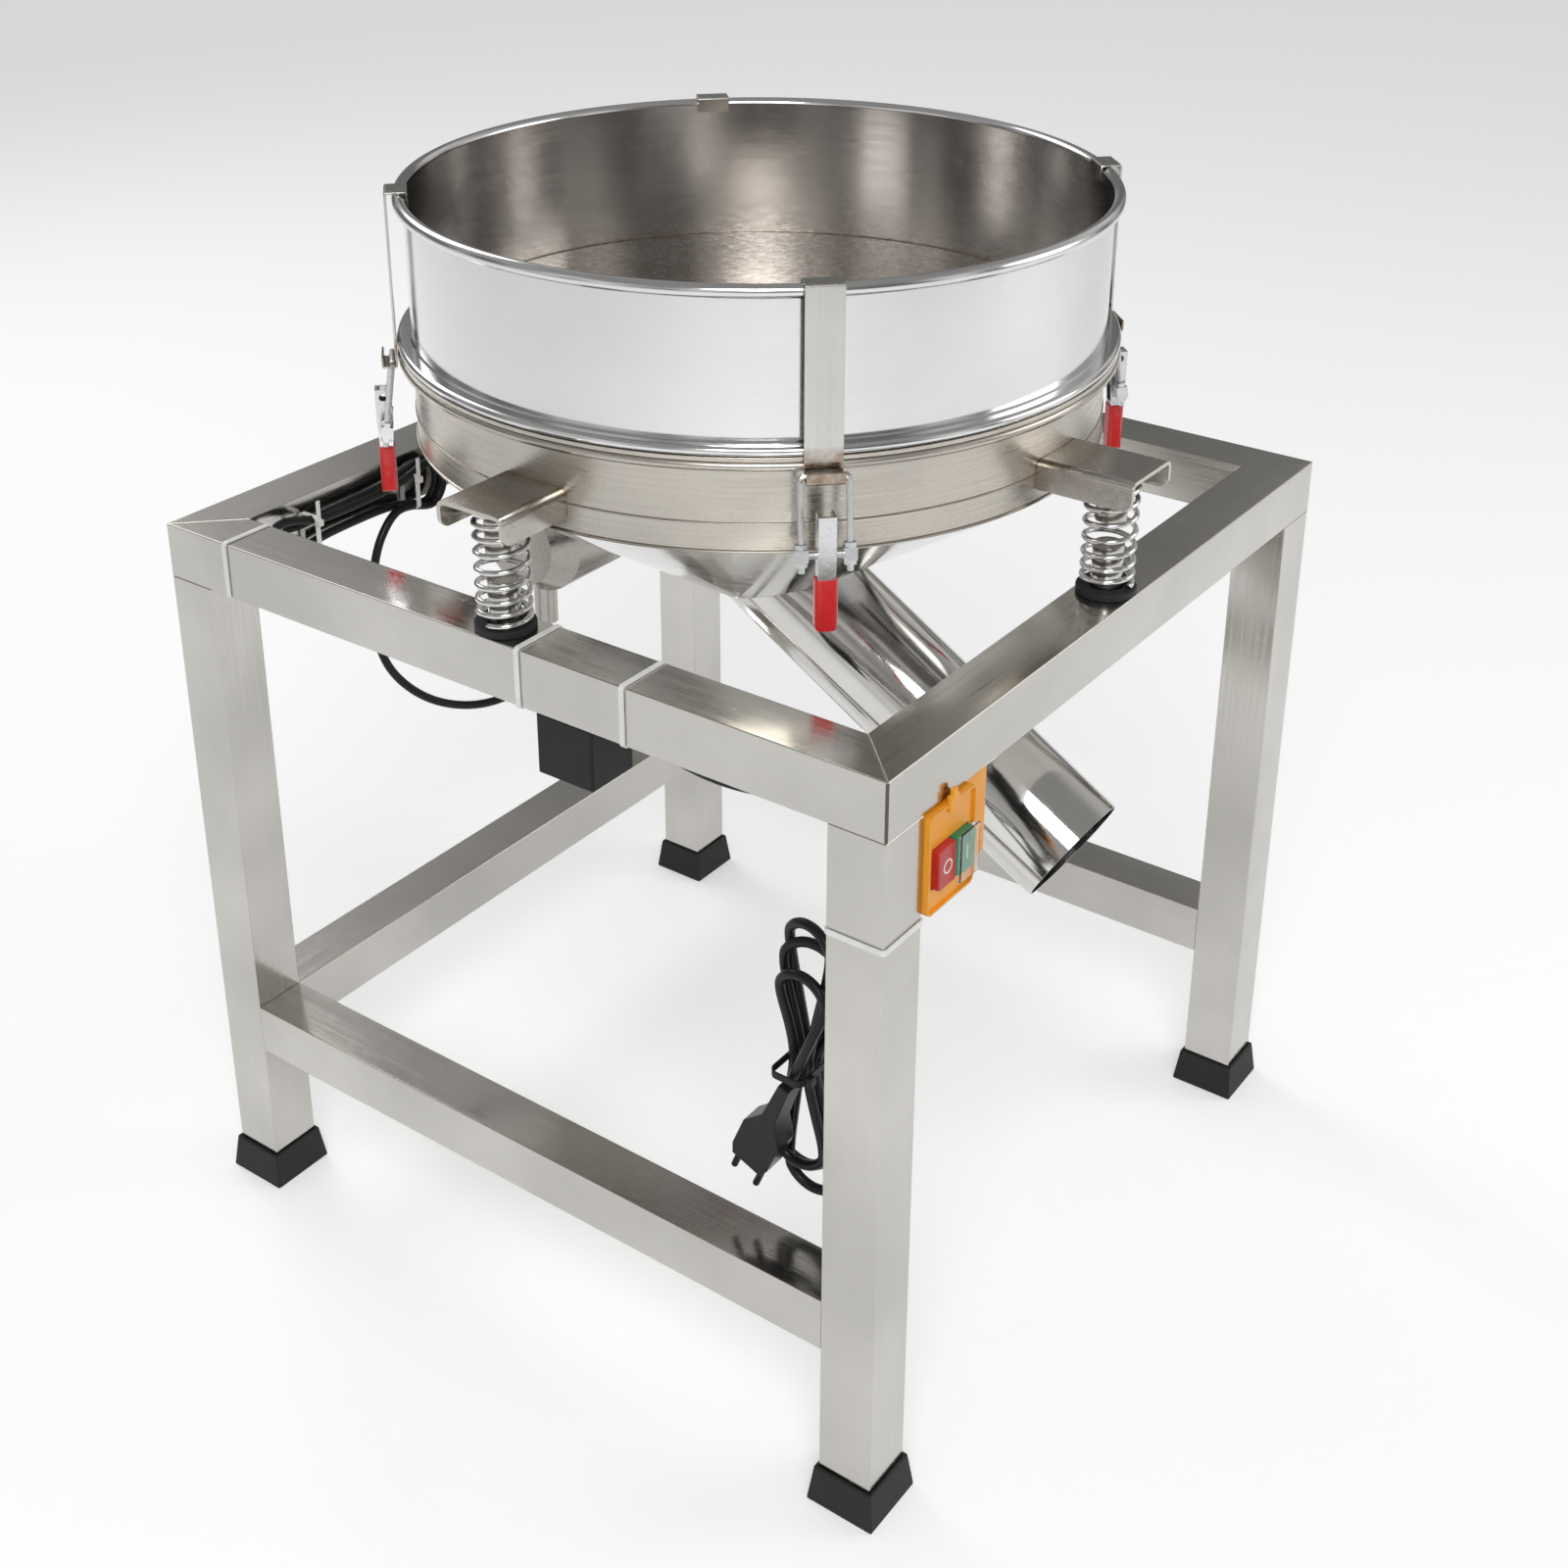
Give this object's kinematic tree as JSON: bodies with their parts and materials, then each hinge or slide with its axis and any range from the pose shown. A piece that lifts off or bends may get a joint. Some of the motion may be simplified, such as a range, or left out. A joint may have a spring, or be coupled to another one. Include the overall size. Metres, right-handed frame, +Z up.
{
  "type": "vibrating sieve",
  "caption": "Small vibrating sieve: a round hopper clamped over a screen on a sprung pan and cone, a slanted outlet chute, a motor below, and a square tube stand with a switch.",
  "frame": {"origin": "on the floor, under the middle of the stand", "axes": "+Z up, the outlet chute points to -Y (front), the switch is at the front left (-X)"},
  "size_m": [0.594, 0.614, 0.7938],
  "materials": {
    "frame_steel": "stainless square tube, satin with a fine long grain",
    "brushed_steel": "stainless sheet, brushed, darker",
    "polished_steel": "stainless sheet, polished nearly to a mirror",
    "mesh_steel": "fine woven stainless mesh in a flat ring",
    "spring_steel": "bright zinc plated wire",
    "plated_steel": "zinc plated pressed steel",
    "rotor_steel": "machined steel",
    "motor_casting": "satin steel shell, brown grey",
    "black_rubber": "matt black rubber",
    "cord_rubber": "smooth black flexible sheath",
    "black_plastic": "matt black moulding",
    "red_plastic": "glossy red",
    "green_plastic": "glossy green"
  },
  "bodies": {
    "frame": {"rail_top_left": "frame_steel", "spring_left": "spring_steel", "spring_pad_left": "black_rubber", "rail_top_right": "frame_steel", "spring_right": "spring_steel", "spring_pad_right": "black_rubber", "rail_top_front": "frame_steel", "spring_front": "spring_steel", "spring_pad_front": "black_rubber", "rail_top_back": "frame_steel", "spring_back": "spring_steel", "spring_pad_back": "black_rubber", "rail_low_left": "frame_steel", "rail_low_right": "frame_steel", "rail_low_back": "frame_steel", "leg_front_left": "frame_steel", "foot_front_left": "black_rubber", "leg_front_right": "frame_steel", "foot_front_right": "black_rubber", "leg_back_right": "frame_steel", "foot_back_right": "black_rubber", "leg_back_left": "frame_steel", "foot_back_left": "black_rubber", "switch_box": "black_plastic", "junction_box": "black_plastic", "power_cord": "cord_rubber", "power_hank": "cord_rubber", "power_plug": "cord_rubber", "switch_cable": "cord_rubber", "motor_cable": "cord_rubber", "motor_hank": "cord_rubber"},
    "sieve": {"pan": "brushed_steel", "cone": "polished_steel", "chute": "polished_steel", "screen": "mesh_steel", "hopper": "polished_steel", "strap_front_left": "brushed_steel", "strap_front_right": "brushed_steel", "strap_back_right": "brushed_steel", "strap_back_left": "brushed_steel", "bracket_left": "brushed_steel", "bracket_right": "brushed_steel", "bracket_front": "brushed_steel", "bracket_back": "brushed_steel", "motor_housing": "motor_casting"},
    "lever_front_left": {"latch_lever_front_left": "plated_steel", "latch_grip_front_left": "red_plastic"},
    "bolt_front_left": {"latch_bolt_front_left": "plated_steel"},
    "lever_front_right": {"latch_lever_front_right": "plated_steel", "latch_grip_front_right": "red_plastic"},
    "bolt_front_right": {"latch_bolt_front_right": "plated_steel"},
    "lever_back_right": {"latch_lever_back_right": "plated_steel", "latch_grip_back_right": "red_plastic"},
    "bolt_back_right": {"latch_bolt_back_right": "plated_steel"},
    "lever_back_left": {"latch_lever_back_left": "plated_steel", "latch_grip_back_left": "red_plastic"},
    "bolt_back_left": {"latch_bolt_back_left": "plated_steel"},
    "rotor": {"rotor": "rotor_steel"},
    "button_stop": {"button_stop": "red_plastic"},
    "button_start": {"button_start": "green_plastic"}
  },
  "joints": [
    {"name": "sieve_bounce", "type": "slide", "parent": "frame", "child": "sieve", "axis": [0, 0, 1], "range_m": [-0.008, 0.008], "stiffness_N_per_m": 16000, "springref_m": 0.01042, "deforming": ["spring_left", "spring_right", "spring_front", "spring_back"]},
    {"name": "rotor_spin", "type": "hinge", "parent": "sieve", "child": "rotor", "pos_m": [0, 0.186, 0.49], "axis": [1, 0, 0], "continuous": true},
    {"name": "lever_front_left_hinge", "type": "hinge", "parent": "sieve", "child": "lever_front_left", "pos_m": [-0.18526, -0.18526, 0.649], "axis": [-0.7071, 0.7071, 0], "range_deg": [0, 80]},
    {"name": "bolt_front_left_hinge", "type": "hinge", "parent": "lever_front_left", "child": "bolt_front_left", "pos_m": [-0.18455, -0.18455, 0.628], "axis": [-0.7071, 0.7071, 0], "range_deg": [-52.5, 0]},
    {"name": "lever_front_right_hinge", "type": "hinge", "parent": "sieve", "child": "lever_front_right", "pos_m": [0.18526, -0.18526, 0.649], "axis": [-0.7071, -0.7071, 0], "range_deg": [0, 80]},
    {"name": "bolt_front_right_hinge", "type": "hinge", "parent": "lever_front_right", "child": "bolt_front_right", "pos_m": [0.18455, -0.18455, 0.628], "axis": [-0.7071, -0.7071, 0], "range_deg": [-52.5, 0]},
    {"name": "lever_back_right_hinge", "type": "hinge", "parent": "sieve", "child": "lever_back_right", "pos_m": [0.18526, 0.18526, 0.649], "axis": [0.7071, -0.7071, 0], "range_deg": [0, 80]},
    {"name": "bolt_back_right_hinge", "type": "hinge", "parent": "lever_back_right", "child": "bolt_back_right", "pos_m": [0.18455, 0.18455, 0.628], "axis": [0.7071, -0.7071, 0], "range_deg": [-52.5, 0]},
    {"name": "lever_back_left_hinge", "type": "hinge", "parent": "sieve", "child": "lever_back_left", "pos_m": [-0.18526, 0.18526, 0.649], "axis": [0.7071, 0.7071, 0], "range_deg": [0, 80]},
    {"name": "bolt_back_left_hinge", "type": "hinge", "parent": "lever_back_left", "child": "bolt_back_left", "pos_m": [-0.18455, 0.18455, 0.628], "axis": [0.7071, 0.7071, 0], "range_deg": [-52.5, 0]},
    {"name": "button_stop_press", "type": "slide", "parent": "frame", "child": "button_stop", "axis": [0, 1, 0], "range_m": [0, 0.003], "stiffness_N_per_m": 500},
    {"name": "button_start_press", "type": "slide", "parent": "frame", "child": "button_start", "axis": [0, 1, 0], "range_m": [0, 0.003], "stiffness_N_per_m": 500}
  ],
  "couplings": [
    {"joint": "bolt_front_left_hinge", "follows": "lever_front_left_hinge", "ratio": -0.6525},
    {"joint": "bolt_front_right_hinge", "follows": "lever_front_right_hinge", "ratio": -0.6525},
    {"joint": "bolt_back_right_hinge", "follows": "lever_back_right_hinge", "ratio": -0.6525},
    {"joint": "bolt_back_left_hinge", "follows": "lever_back_left_hinge", "ratio": -0.6525}
  ]
}
